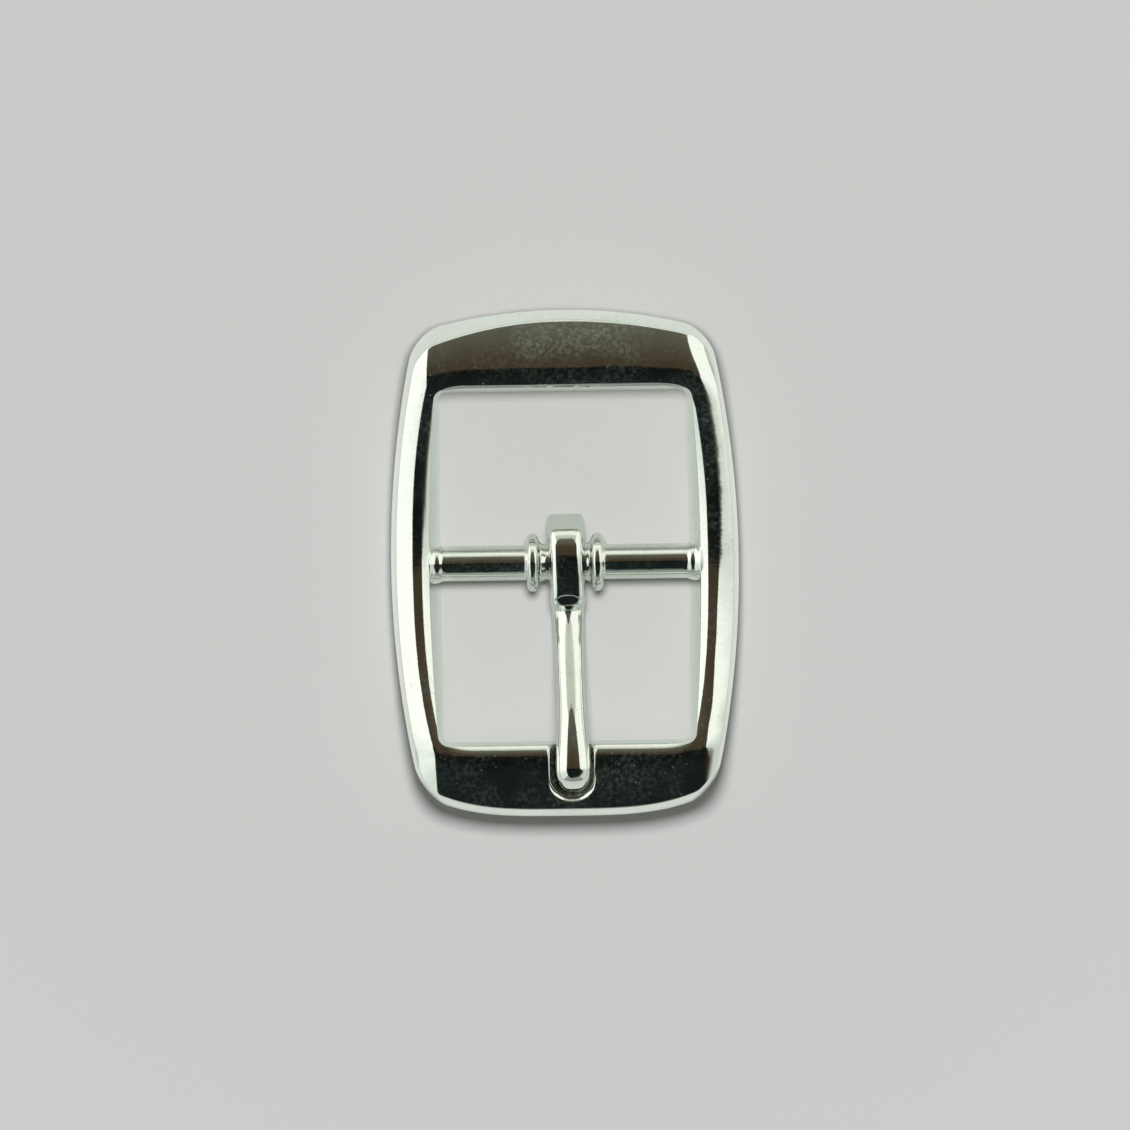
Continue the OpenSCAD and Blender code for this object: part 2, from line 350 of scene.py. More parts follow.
def with_notch(face, x, y):
    """The face's height, cut by the notch's round floor and by the narrow bevel round its rim."""
    off_line = math.hypot(x - notch_x, min(0.0, y + notch_end))
    bevel = face + (off_line - notch_rim_r) * notch_rim_slope
    inside = notch_r**2 - off_line**2
    floor = notch_z - math.sqrt(inside) if inside > 0 else notch_z + 1
    return lower_of(lower_of(face, bevel, notch_rim_blend), floor, notch_rim_blend)


def outline(spec):
    loop = []
    for index, (x, y) in enumerate(plan(spec)):
        z = spec["height"](index, x, y)
        if spec["back"]:
            z = max(0.0, z - ground_dip + rise(y, back_curve))
        else:
            z += rise(y, front_curve)
            if y < 0:
                z = with_notch(z, x, y)
        loop.append((x, y, z))
    return loop


print("the notch's floor is", round(with_notch(crest_h + 2, notch_x, -notch_end), 2), "mm up at its deepest")

# %% [markdown]
# ## Rows of the section
#
# The face rows and the inner rows take their height from the front face. The bevel and the window's wall
# start at the height that the row beside them has at the same point, and go down to a level of their own.

# %% Rows of the front face
# Bows of the upper end's left and right half and of the lower end.
face_bows, edge_bows = (0.127, 0.087, 0.1), (0.083, 0.083, 0.093)
back_bows, no_bows = (0.03, 0.03, 0.03), (0, 0, 0)
face_bow_power = 1.4

# Corner radius and bow of the sides, for each outline that the rows run between.
crest_r, crest_side_bow = 2.2, 0.118
edge_r, edge_side_bow = 2.4, 0.14
lip_r, lip_side_bow = 1.0, 0.06
outline_r, outline_side_bow = 3.2, 0.156
window_r = 0.85


def face_row(t):
    """A row a share t of the way from the crest to the face's outer edge."""
    bows = [bow * t**face_bow_power for bow in face_bows]
    return row(
        blend(crest_a, face_a, t), blend(crest_up, face_up, t), blend(crest_down, face_down, t),
        blend(crest_r, edge_r, t), blend(crest_side_bow, edge_side_bow, t), bows,
        lambda index, x, y: front(x, y),
    )


def inner_row(t):
    """A row a share t of the way from the crest to the lip at the window."""
    return row(
        blend(crest_a, inner_a, t), blend(crest_up, inner_up, t), blend(crest_down, inner_down, t),
        blend(crest_r, lip_r, t), blend(crest_side_bow, lip_side_bow, t), no_bows,
        lambda index, x, y: front(x, y),
    )


edge_heights = [front(x, y) for x, y in plan(face_row(1))]
lip_heights = [front(x, y) for x, y in plan(inner_row(1))]
print("outer edge from", round(min(edge_heights), 2), "to", round(max(edge_heights), 2), "mm before the dish")

# %% Rows of the bevel and of the window's wall
end_from, end_over = 19, 4
bevel_swell, bevel_inset = 0.15, 0.02
wall_foot = 1.0


def flat(z_side, z_end):
    """A height that differs between the sides and the ends."""
    return lambda index, x, y: blend(z_side, z_end, soft((abs(y) - end_from) / end_over))


bevel_foot = flat(2.9, 2.4)


def bevel_row(t):
    """A row a share t of the way down the bevel outside the face's edge."""
    swell = bevel_swell * math.sin(math.pi * t)
    return row(
        blend(face_a, half_w - bevel_inset, t), blend(face_up, half_up, t), blend(face_down, half_down, t),
        blend(edge_r, outline_r, t), blend(edge_side_bow, outline_side_bow, t),
        [blend(a, b, t) for a, b in zip(face_bows, edge_bows)],
        lambda index, x, y: blend(edge_heights[index], bevel_foot(index, x, y), t) + swell,
    )


def wall_row(t, inset):
    """A row on the window's wall, a share t of the way down, set in from the lip towards the window."""
    return row(
        blend(inner_a, window_a, inset), blend(inner_up, window_up, inset),
        blend(inner_down, window_down, inset), blend(lip_r, window_r, inset),
        blend(lip_side_bow, 0.0, inset), no_bows,
        lambda index, x, y: blend(lip_heights[index], wall_foot, t),
    )


print("bevel's foot at a side and at an end:", bevel_foot(0, half_w, 0), bevel_foot(0, 0, half_up), "mm up")

# %% All the rows, in order
back_a, back_up, back_down, back_r, back_side_bow = 15.2, 21.5, 21.9, 2.0, 0.06


def outer_row(inset, r, height, back):
    """A row on the outline or a little inside it."""
    a, up, down = half_w - inset, half_up - inset, half_down - inset
    return row(a, up, down, r, outline_side_bow, edge_bows, height, back)


def window_row(widening, r, height):
    """A row on the back of the window's edge, this much wider than the window."""
    return row(window_a + widening, window_up + widening, window_down + widening, r, 0, no_bows, height, True)


def section_rows():
    rows = [
        window_row(0.3, 1.0, flat(0, 0)),
        row(back_a, back_up, back_down, back_r, back_side_bow, back_bows, flat(0, 0), True),
        outer_row(0.5, 3.0, flat(0, 0), True),
        outer_row(0.12, 3.1, flat(0.1, 0.1), True),
        outer_row(0, outline_r, flat(0.45, 0.45), True),
        outer_row(0, outline_r, flat(0.8, 0.8), True),
        outer_row(0, outline_r, flat(1.7, 1.4), False),
        outer_row(0, outline_r, flat(2.6, 2.15), False),
    ]
    rows += [bevel_row(t) for t in (1, 0.95, 0.85, 0.7, 0.5, 0.3, 0.12)]
    face_steps = [1, 0.95, 0.91, 0.88]
    face_steps += [0.86 - 0.02 * i for i in range(14)]
    face_steps += [0.57 - 0.03 * i for i in range(19)]
    rows += [face_row(t) for t in face_steps]
    inner_steps = [0, 0.06, 0.12, 0.18, 0.24, 0.3, 0.38, 0.46, 0.55, 0.65, 0.75, 0.85, 0.94, 1]
    rows += [inner_row(t) for t in inner_steps]
    wall_steps = [(0.02, 0.06), (0.06, 0.12), (0.14, 0.17), (0.4, 0.4), (0.75, 0.7)]
    rows += [wall_row(t, inset) for t, inset in wall_steps]
    rows += [
        row(window_a + 0.05, window_up, window_down, window_r, 0, no_bows, flat(0.75, 0.75), True),
        window_row(0, window_r, flat(0.4, 0.4)),
        window_row(0.08, 0.9, flat(0.1, 0.1)),
    ]
    return rows


print("rows round the section:", len(section_rows()))

# %% [markdown]
# ## Growing the ring
#
# The real ring is one pour of metal, so it is one closed skin here, not four rails that are joined. One
# level of subdivision rounds the small steps between the outlines.

# %% Grow the ring


def select_only(piece):
    bpy.ops.object.select_all(action="DESELECT")
    piece.select_set(True)
    bpy.context.view_layer.objects.active = piece


def apply_modifier(piece, kind, **settings):
    select_only(piece)
    modifier = piece.modifiers.new(kind.title(), kind)
    for key, value in settings.items():
        setattr(modifier, key, value)
    bpy.ops.object.modifier_apply(modifier=modifier.name)


ring = grow("frame_casting", [outline(spec) for spec in section_rows()], closed=True)
apply_modifier(ring, "SUBSURF", levels=1, render_levels=1)
print("ring:", 2 * len(ring.data.polygons), "triangles")

# %% [markdown]
# ## The bar and its collars
#
# The bar is cast with the frame. It is turned in spirit: round all along, with two discs that keep the
# tongue in the middle, oval in section, with a small fillet on each disc's inner side, and a flare where
# the bar runs into each side rail. So it is grown from one circle as well, along X, with a radius for each
# place. It is then joined to the ring, because it is one casting.

# %% The bar's profile
collar_x, collar_r, collar_half, collar_core, collar_power = 3.38, 3.06, 0.8, 0.8, 3.2
# The collar's section is drawn between two angles. Its outer side meets the bar in a sharp corner.
collar_from, collar_to, collar_steps = 141, 30, 12
corner_at, corner_lift = 0.93, 0.03
# Columns: place along X, how far the radius has grown there.
collar_foot = [(1.9, 0.0), (2.0, 0.02), (2.15, 0.07), (2.3, 0.13), (2.45, 0.19), (2.56, 0.25)]
root = [
    (12.66, 0.0), (12.76, 0.02), (12.86, 0.055), (12.98, 0.105), (13.1, 0.155), (13.2, 0.185), (13.3, 0.2),
    (13.4, 0.21), (13.5, 0.225), (13.6, 0.26), (13.72, 0.32), (13.88, 0.43), (14.06, 0.58), (14.3, 0.85),
]


def bar_profile():
    """Places along one half of the bar and the radius there."""
    places = [(x, bar_r) for x in (0.0, 0.9, 1.6)] + [(x, bar_r + growth) for x, growth in collar_foot]
    for step in range(collar_steps + 1):
        angle = math.radians(blend(collar_from, collar_to, step / collar_steps))
        across = math.copysign(abs(math.cos(angle)) ** (2 / collar_power), math.cos(angle))
        places.append((collar_x + collar_half * across, blend(collar_core, collar_r, math.sin(angle))))
    places.append((collar_x + corner_at * collar_half, bar_r + corner_lift))
    places += [(x, bar_r) for x in (4.24, 4.5, 5.5, 7.0, 8.5, 10.0, 11.4, 12.1)]
    places += [(x, bar_r + growth) for x, growth in root]
    return places


half = bar_profile()
stations = [(-x, r) for x, r in half[:0:-1]] + half
print("the bar is", 2 * half[-1][0], "mm long with its ends inside the rails, from", len(stations), "places")

# %% Grow the bar and join it to the ring
bar_points = 56
around = [2 * math.pi * i / bar_points for i in range(bar_points)]
bar_loops = [[(x, r * math.cos(t), bar_z + r * math.sin(t)) for t in around] for x, r in stations]
bar = grow("bar", bar_loops, closed=False)
apply_modifier(bar, "SUBSURF", levels=1, render_levels=1)

select_only(ring)
bar.select_set(True)
bpy.ops.object.join()
print("frame casting:", sum(len(p.vertices) - 2 for p in ring.data.polygons), "triangles")

# %% [markdown]
# ## The tongue
#
# The tongue is one casting: a head bored for the bar, with a nearly flat top, then a scooped facet and a
# steep step, a round shank that climbs to the end rail, and a blunt, slightly swollen tip. Every section is
# a rounded box that turns into an oval, so a table of a few sections, read as smooth curves, gives the
# whole body. A section may be bowed in the plan, which is what makes the two small arcs at the end of the
# head.

# %% Sections of the tongue
# Columns: place along Y, top and bottom above the bar's axis, half width, squareness, bow in the plan.
TONGUE = [
    (-23.98, 3.30, 3.05, 0.40, 2.1, 0.0),
    (-23.88, 3.70, 2.96, 0.76, 2.1, 0.0),
    (-23.68, 4.22, 2.88, 1.06, 2.1, 0.0),
    (-23.40, 4.66, 2.80, 1.32, 2.1, 0.0),
    (-23.00, 5.14, 2.74, 1.55, 2.1, 0.0),
    (-22.65, 5.52, 2.71, 1.70, 2.1, 0.0),
    (-22.45, 5.68, 2.70, 1.77, 2.1, 0.0),
    (-22.10, 5.85, 2.68, 1.83, 2.1, 0.0),
    (-21.60, 5.94, 2.67, 1.87, 2.1, 0.0),
    (-20.40, 5.86, 2.67, 1.85, 2.0, 0.0),
    (-19.20, 5.69, 2.66, 1.74, 2.0, 0.0),
    (-18.00, 5.46, 2.60, 1.61, 2.0, 0.0),
    (-16.70, 5.13, 2.38, 1.52, 2.0, 0.0),
    (-15.40, 4.69, 1.98, 1.47, 2.0, 0.0),
    (-14.00, 4.11, 1.40, 1.46, 2.0, 0.0),
    (-12.00, 3.20, 0.52, 1.48, 2.0, 0.0),
    (-10.00, 2.29, -0.37, 1.51, 1.95, 0.0),
    (-8.00, 1.38, -1.24, 1.55, 1.8, 0.0),
    (-7.00, 0.93, -1.67, 1.59, 1.65, 0.0),
    (-6.20, 0.60, -2.02, 1.63, 1.6, 0.0),
    (-5.60, 0.41, -2.29, 1.66, 1.6, 0.0),
    (-5.15, 0.33, -2.49, 1.69, 1.6, 0.0),
    (-5.06, 0.36, -2.54, 1.70, 1.6, 0.05),
    (-4.98, 0.56, -2.57, 1.71, 1.6, 0.1),
    (-4.80, 1.32, -2.64, 1.74, 1.75, 0.12),
    (-4.68, 1.94, -2.70, 1.75, 2.5, 0.1),
    (-4.50, 2.15, -2.83, 1.76, 3.5, -0.05),
    (-3.90, 2.36, -2.86, 1.79, 3.8, -0.5),
    (-3.48, 2.49, -2.87, 1.81, 3.9, -0.8),
    (-3.36, 2.58, -2.87, 1.82, 3.9, -0.85),
    (-3.20, 2.65, -2.88, 1.83, 4.0, -0.65),
    (-2.60, 2.75, -2.89, 1.87, 4.0, -0.1),
    (-1.00, 2.90, -2.90, 1.90, 4.0, 0.0),
    (0.80, 2.96, -2.90, 1.90, 4.0, 0.0),
    (1.70, 2.92, -2.88, 1.90, 4.0, 0.0),
    (2.65, 2.62, -2.80, 1.89, 4.0, 0.0),
    (3.20, 2.32, -2.68, 1.88, 3.9, 0.0),
    (3.40, 2.13, -2.63, 1.87, 3.8, 0.0),
    (3.58, 1.84, -2.57, 1.86, 3.8, 0.0),
    (4.00, 1.15, -2.41, 1.85, 3.7, 0.0),
    (4.40, 0.49, -2.18, 1.82, 3.6, 0.0),
    (4.85, -0.26, -1.75, 1.76, 3.4, 0.0),
    (5.06, -0.64, -1.30, 1.60, 3.2, 0.0),
]
print("tongue:", round(TONGUE[-1][0] - TONGUE[0][0], 2), "mm long, from", len(TONGUE), "sections")

# %% Reading the table as smooth curves


def smooth_through(points, x):
    """A curve through points (x, value, ...), without overshoot; each column is followed on its own."""
    if x <= points[0][0]:
        return points[0][1:]
    if x >= points[-1][0]:
        return points[-1][1:]
    k = next(i for i in range(len(points) - 1) if points[i][0] <= x <= points[i + 1][0])
    p, q = points[k], points[k + 1]
    width = q[0] - p[0]
    t = (x - p[0]) / width
    values = []
    for column in range(1, len(p)):
        chord = (q[column] - p[column]) / width
        slopes = []
        for i in (k, k + 1):
            if i in (0, len(points) - 1):
                slopes.append(chord)
                continue
            before, here, after = points[i - 1], points[i], points[i + 1]
            left = (here[column] - before[column]) / (here[0] - before[0])
            right = (after[column] - here[column]) / (after[0] - here[0])
            slopes.append(2 * left * right / (left + right) if left * right > 0 else 0.0)
        h00, h10 = 2 * t**3 - 3 * t**2 + 1, t**3 - 2 * t**2 + t
        h01, h11 = 3 * t**2 - 2 * t**3, t**3 - t**2
        values.append(h00 * p[column] + h10 * width * slopes[0] + h01 * q[column] + h11 * width * slopes[1])
    return values


print("half way along the shank it is", round(2 * smooth_through(TONGUE, -14.5)[2], 2), "mm wide")

# %% Grow the tongue
head_x, tongue_yaw = 0.16, math.radians(1.1)
tongue_points, longest_step = 48, 0.3


def signed_power(value, power):
    return math.copysign(abs(value) ** power, value)


def tongue_section(y):
    """The points of the section at this place along Y, turned and shifted to where the tongue lies."""
    top, bottom, half_width, square, bow = smooth_through(TONGUE, y)
    middle, half_height = (top + bottom) / 2, (top - bottom) / 2
    points = []
    for i in range(tongue_points):
        t = 2 * math.pi * (i + 0.5) / tongue_points
        x = half_width * signed_power(math.cos(t), 2 / square)
        z = middle + half_height * signed_power(math.sin(t), 2 / square)
        local_y = y + bow * (x / half_width) ** 2
        points.append((
            head_x + x * math.cos(tongue_yaw) - local_y * math.sin(tongue_yaw),
            local_y * math.cos(tongue_yaw) + x * math.sin(tongue_yaw),
            bar_z + z,
        ))
    return points


tongue_places = []
for here, there in zip(TONGUE, TONGUE[1:]):
    parts = max(2, round((there[0] - here[0]) / longest_step))
    tongue_places += [blend(here[0], there[0], i / parts) for i in range(parts)]
tongue_places.append(TONGUE[-1][0])
tongue = grow("tongue_casting", [tongue_section(y) for y in tongue_places], closed=False)
apply_modifier(tongue, "SUBSURF", levels=1, render_levels=1)

# %% [markdown]
# ## The bore
#
# The head swings on the bar, so it is bored a little larger. A cylinder along X is subtracted with a
# Boolean, as a drill would do it, and then removed.

# %% Bore the head
bore_r, drill_length, drill_points = 1.92, 8, 96
select_none()
bpy.ops.mesh.primitive_cylinder_add(
    vertices=drill_points, radius=bore_r * MM, depth=drill_length * MM,
    location=(0, 0, bar_z * MM), rotation=(0, math.pi / 2, 0),
)
drill = bpy.context.object
apply_modifier(tongue, "BOOLEAN", operation="DIFFERENCE", object=drill, solver="EXACT")
bpy.data.objects.remove(drill)
print("tongue casting:", sum(len(p.vertices) - 2 for p in tongue.data.polygons), "triangles")

# %% [markdown]
# ## Smooth shading
#
# The castings are smooth but for the bore's edge and the bar's roots, so faces are shaded smooth up to a
# fixed angle, and only sharper folds keep an edge.

# %% Shade the castings
sharpest_smooth = math.radians(40)
for piece in (ring, tongue):
    select_only(piece)
    bpy.ops.object.shade_smooth_by_angle(angle=sharpest_smooth)
    print(piece.name, "keeps", sum(edge.use_edge_sharp for edge in piece.data.edges), "sharp edges")

# %% [markdown]
# ## Bright nickel plate
#
# Bright nickel on a polished zinc casting is close to a mirror, with a faint warm-green cast. What keeps it
# from looking like a computer's mirror is small: the casting's skin is a little wavy under the plate, it
# carries fine grain, a thin uneven haze and dust specks, and handling leaves a dull smear on the upper
# rail. A picture of a worn plate could be wrapped round it, but patterns set in millimetres on Object
# coordinates stay sharp at any distance.

# %% Colours and nodes


def linear(hex_colour):
    """The linear colour of an sRGB hex value."""
    values = [int(hex_colour[i:i + 2], 16) / 255 for i in (1, 3, 5)]
    return [v / 12.92 if v <= 0.04045 else ((v + 0.055) / 1.055) ** 2.4 for v in values] + [1.0]


def add_node(tree, kind, settings=None, **inputs):
    """Adds a node with its settings. An input, by its name or as i and its number, gets a value or a link."""
    node = tree.nodes.new(kind)
    for name, value in (settings or {}).items():
        setattr(node, name, value)
    for name, value in inputs.items():
        numbered = name[0] == "i" and name[1:].isdigit()
        socket = node.inputs[int(name[1:]) if numbered else name.replace("_", " ")]
        if isinstance(value, bpy.types.NodeSocket):
            tree.links.new(value, socket)
        else:
            socket.default_value = value
    return node


# Short names for the kinds of node used most, and for their settings. A RANGE goes from i1, i2 to i3, i4.
MATHS, VECTOR, RANGE, MIX = "ShaderNodeMath", "ShaderNodeVectorMath", "ShaderNodeMapRange", "ShaderNodeMix"
COLOUR, NUMBER, SMOOTH = {"data_type": "RGBA"}, {"data_type": "FLOAT"}, {"interpolation_type": "SMOOTHSTEP"}

# The notch's brown is a painted reflection: it stands in for the tent's brown opening that the groove
# mirrors, and darkens the notch.
nickel_light, nickel_dark, painted_reflection_colour = linear("#f8f9f5"), linear("#f2f6f2"), linear("#a3977d")
print("nickel in linear light:", [round(v, 3) for v in nickel_light[:3]])

# %% The plate's patterns
# Columns: the pattern, the size of its features in millimetres, its finer layers, how strong they are.
PATTERNS = [
    ("waves", 3.2, 1.0, 0.5),
    ("skin", 0.35, 2.0, 0.5),
    ("grain", 0.45, 4.0, 0.7),
    ("patches", 4.0, 2.0, 0.5),
]


def per_mm(size):
    """Texture scale for a pattern whose features are this many millimetres across."""
    return 1 / (size * MM)


def plate_patterns(tree, place):
    """The plate's noise patterns, by name."""
    patterns = {}
    for name, size, layers, strength in PATTERNS:
        noise = add_node(
            tree, "ShaderNodeTexNoise", Vector=place, Scale=per_mm(size), Detail=layers, Roughness=strength
        )
        patterns[name] = noise.outputs[0]
    return patterns


print("texture scales:", {name: round(per_mm(size)) for name, size, layers, strength in PATTERNS})

# %% Dust specks
speck_spacing, speck_bend_size, speck_bend = 0.8, 0.5, 0.25


def dust_specks(tree, place):
    """A speck in each cell, bent out of round, and some of them fainter."""
    bend = add_node(tree, "ShaderNodeTexNoise", Vector=place, Scale=per_mm(speck_bend_size)).outputs["Color"]
    bend = add_node(tree, VECTOR, {"operation": "SCALE"}, i0=bend, Scale=speck_bend * MM).outputs[0]
    bent = add_node(tree, VECTOR, {"operation": "ADD"}, i0=bend, i1=place).outputs[0]
    cells = add_node(tree, "ShaderNodeTexVoronoi", Vector=bent, Scale=per_mm(speck_spacing)).outputs
    dot = add_node(tree, RANGE, i0=cells["Distance"], i1=0.05, i2=0.17, i3=1.0, i4=0.0)
    pick = add_node(tree, "ShaderNodeSeparateColor", i0=cells["Color"])
    strength = add_node(tree, RANGE, i0=pick.outputs[0], i1=0.4, i2=1.0, i3=0.0, i4=0.5)
    specks = add_node(tree, MATHS, {"operation": "MULTIPLY"}, i0=dot.outputs[0], i1=strength.outputs[0])
    return specks.outputs[0]


print("a speck every", speck_spacing, "mm at most")

# %% Haze
film_share, satin_share = 0.1, 0.09


def powder_share(tree, patterns, specks, film, satin_and_reflection):
    """How much of the plate fine powder hides: an uneven haze, more of it on a mark, and the specks."""
    haze = add_node(tree, RANGE, i0=patterns["patches"], i1=0.35, i2=0.75, i3=0.0, i4=0.06).outputs[0]
    for mark, share in ((film, film_share), (satin_and_reflection, satin_share)):
        if mark:
            added = add_node(tree, MATHS, {"operation": "MULTIPLY_ADD"}, i0=mark, i1=share, i2=haze)
            haze = added.outputs[0]
    grainy = add_node(tree, RANGE, i0=patterns["grain"], i1=0.44, i2=0.7, i3=0.1, i4=3.6).outputs[0]
    powder = add_node(tree, MATHS, {"operation": "MULTIPLY_ADD"}, i0=haze, i1=grainy, i2=specks)
    return powder.outputs[0]


print("powder on the smear and in the notch:", film_share, satin_share)

# %% The bright nickel material
wave_height, grain_height = 0.03, 0.003
satin_roughness = 0.26


def bright_nickel(name, shift, marks):
    """The plate. The function marks, where given, returns a share of dull film and one of satin surface,
    which also carries a painted brown reflection.
    """
    material = bpy.data.materials.new(name)
    material.use_nodes = True
    tree = material.node_tree
    shader = tree.nodes["Principled BSDF"]
    shader.inputs["Metallic"].default_value = 1.0
    place = add_node(tree, "ShaderNodeTexCoord").outputs["Object"]
    moved = add_node(tree, "ShaderNodeMapping", Vector=place, Location=(shift, 0, 0)).outputs[0]
    patterns = plate_patterns(tree, moved)
    film, satin_and_reflection = marks(tree, place) if marks else (None, None)
    share = powder_share(tree, patterns, dust_specks(tree, moved), film, satin_and_reflection)

    skin = patterns["skin"]
    colour = add_node(tree, MIX, COLOUR, i0=skin, i6=nickel_light, i7=nickel_dark)
    rough = add_node(tree, RANGE, i0=skin, i1=0.3, i2=0.7, i3=0.045, i4=0.085)
    # In the notch the satin surface also takes the painted brown reflection colour.
    if satin_and_reflection:
        colour = add_node(tree, MIX, COLOUR, i0=satin_and_reflection, i6=colour.outputs[2], i7=painted_reflection_colour)
        rough = add_node(
            tree, MATHS, {"operation": "MULTIPLY_ADD"}, i0=satin_and_reflection, i1=satin_roughness, i2=rough.outputs[0]
        )
    wavy = add_node(tree, "ShaderNodeBump", Strength=1.0, Distance=wave_height * MM, Height=patterns["waves"])
    fine = add_node(
        tree, "ShaderNodeBump", Strength=1.0, Distance=grain_height * MM, Height=skin, Normal=wavy.outputs[0]
    )
    tree.links.new(colour.outputs[2], shader.inputs["Base Color"])
    tree.links.new(rough.outputs[0], shader.inputs["Roughness"])
    tree.links.new(fine.outputs[0], shader.inputs["Normal"])

    powder = add_node(tree, "ShaderNodeBsdfDiffuse", Color=linear("#a3ada3"), Roughness=0.6)
    mix = add_node(tree, "ShaderNodeMixShader", i0=share, i1=shader.outputs[0], i2=powder.outputs[0])
    tree.links.new(mix.outputs[0], tree.nodes["Material Output"].inputs["Surface"])
    print(name, "has", len(tree.nodes), "nodes")
    return material


# %% [markdown]
# ## Marks on the frame
#
# Two places on the frame aren't as bright as the rest. Handling leaves a dull smear in the middle of the
# upper rail, and a polishing wheel can't reach into the notch, so its floor stays satin. The notch is also
# given a darker brown, a painted reflection of the tent's brown opening that the groove mirrors. Both could
# be painted by hand; here each is a mask by place, because the smear has a soft edge and the notch's edge
# has to follow its groove exactly.

# %% A soft box as a mask


def box_mask(tree, place, low, high, edge):
    """1 inside a box in object space, falling to 0 over the edge outside it. All are in millimetres."""
    parts = add_node(tree, "ShaderNodeSeparateXYZ", Vector=place).outputs
    mask = None
    for axis, (a, b) in enumerate(zip(low, high)):
        for start, end in ((a - edge, a), (b + edge, b)):
            side = add_node(tree, RANGE, SMOOTH, i0=parts[axis], i1=start * MM, i2=end * MM).outputs[0]
            if mask:
                side = add_node(tree, MATHS, {"operation": "MULTIPLY"}, i0=side, i1=mask).outputs[0]
            mask = side
    return mask


# Low corner, high corner and soft edge of the smear and of the notch's end of the frame.
smear_box = (-4.0, 22.6, 5), (6.5, 24.4, 9), 2.0
notch_box = (-4, -26, 2), (4, -18, 7.2), 0.1
print("smear:", smear_box[1][0] - smear_box[0][0], "mm wide, with an edge of", smear_box[2], "mm")

# %% The frame's marks
# Where the notch's satin floor and its painted brown reflection are full, and where they end, off the
# groove's line.
satin_and_reflection_full, satin_and_reflection_none = notch_r - 0.02, notch_r + 0.05


def frame_marks(tree, place):
    """The dull smear on the upper rail, and the notch's satin floor with its painted brown reflection: what
    lies near the groove's own line.
    """
    smear = box_mask(tree, place, *smear_box)
    centre = (notch_x * MM, -notch_end * MM, notch_z * MM)
    away = add_node(tree, VECTOR, {"operation": "SUBTRACT"}, i0=place, i1=centre).outputs[0]
    parts = add_node(tree, "ShaderNodeSeparateXYZ", Vector=away).outputs
    past_end = add_node(tree, MATHS, {"operation": "MINIMUM"}, i0=parts[1], i1=0.0).outputs[0]
    folded = add_node(tree, "ShaderNodeCombineXYZ", i0=parts[0], i1=past_end, i2=parts[2]).outputs[0]
    off_line = add_node(tree, VECTOR, {"operation": "LENGTH"}, i0=folded).outputs["Value"]
    near = add_node(
        tree, RANGE, i0=off_line, i1=satin_and_reflection_full * MM, i2=satin_and_reflection_none * MM, i3=1.0, i4=0.0
    ).outputs[0]
    end = box_mask(tree, place, *notch_box)
    notch = add_node(tree, MATHS, {"operation": "MULTIPLY"}, i0=near, i1=end).outputs[0]
    return smear, notch


# The tongue's pattern is shifted, so that it doesn't repeat the frame's.
for piece, shift, marks in ((ring, 0.0, frame_marks), (tongue, 0.05, None)):
    piece.data.materials.clear()
    plate_name = "bright nickel plate, " + piece.name.replace("_", " ")
    piece.data.materials.append(bright_nickel(plate_name, shift, marks))
for name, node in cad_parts.items():
    node.data.materials.clear()
    node.data.materials.append(ring.data.materials[0])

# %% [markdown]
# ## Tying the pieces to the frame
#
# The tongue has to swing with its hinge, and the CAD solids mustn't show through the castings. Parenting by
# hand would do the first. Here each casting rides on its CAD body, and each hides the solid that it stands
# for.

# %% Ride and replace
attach(ring, "frame")
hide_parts("frame")
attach(tongue, "tongue")
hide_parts("tongue")
print(ring.name, "rides on the frame and", tongue.name, "on the tongue")

# %% [markdown]
# ## Floor
#
# A plain pale sheet, far larger than the buckle. The frame stands in the way of some of the light inside
# the window, and the metal mirrors the sheet there dimmer than outside, so reflections get their own tone.
# The lamp lights the sheet a little less towards its edges, so the sheet is made paler there and looks
# even.

# %% The sheet
floor_size = 3.0
select_none()
bpy.ops.mesh.primitive_plane_add(size=floor_size, location=(0, 0, 0))
floor = bpy.context.object
floor.name = "floor"
print("floor:", floor_size, "m square")

# %% The backdrop paper
# Low corner, high corner and soft edge of the dimmer part, in millimetres.
window_shade = (-11, -17, -1), (11, 16, 1), 4
# The place under the lamp, and how far from there the sheet is palest, in metres.
under_lamp = (0.0, 0.024, 0.0)
palest_at = 0.1

paper = bpy.data.materials.new("matt pale backdrop paper")
paper.use_nodes = True
tree = paper.node_tree
shader = tree.nodes["Principled BSDF"]
shader.inputs["Roughness"].default_value = 0.9
shader.inputs["Specular IOR Level"].default_value = 0.0
sheet_place = add_node(tree, "ShaderNodeTexCoord").outputs["Object"]
shaded = box_mask(tree, sheet_place, *window_shade)
mirrored = add_node(tree, MIX, COLOUR, i0=shaded, i6=linear("#eef3ec"), i7=linear("#c8cec7"))
off_lamp = add_node(tree, VECTOR, {"operation": "SUBTRACT"}, i0=sheet_place, i1=under_lamp).outputs[0]
squared = add_node(tree, VECTOR, {"operation": "DOT_PRODUCT"}, i0=off_lamp, i1=off_lamp)
paler = add_node(tree, RANGE, i0=squared.outputs["Value"], i1=0.0, i2=palest_at**2).outputs[0]
lit = add_node(tree, MIX, COLOUR, i0=paler, i6=linear("#dddddb"), i7=linear("#f0f0ee"))
glossy = add_node(tree, "ShaderNodeLightPath").outputs["Is Glossy Ray"]
tone = add_node(tree, MIX, COLOUR, i0=glossy, i6=lit.outputs[2], i7=mirrored.outputs[2])
tree.links.new(tone.outputs[2], shader.inputs["Base Color"])
floor.data.materials.append(paper)
print(paper.name, "has", len(tree.nodes), "nodes")

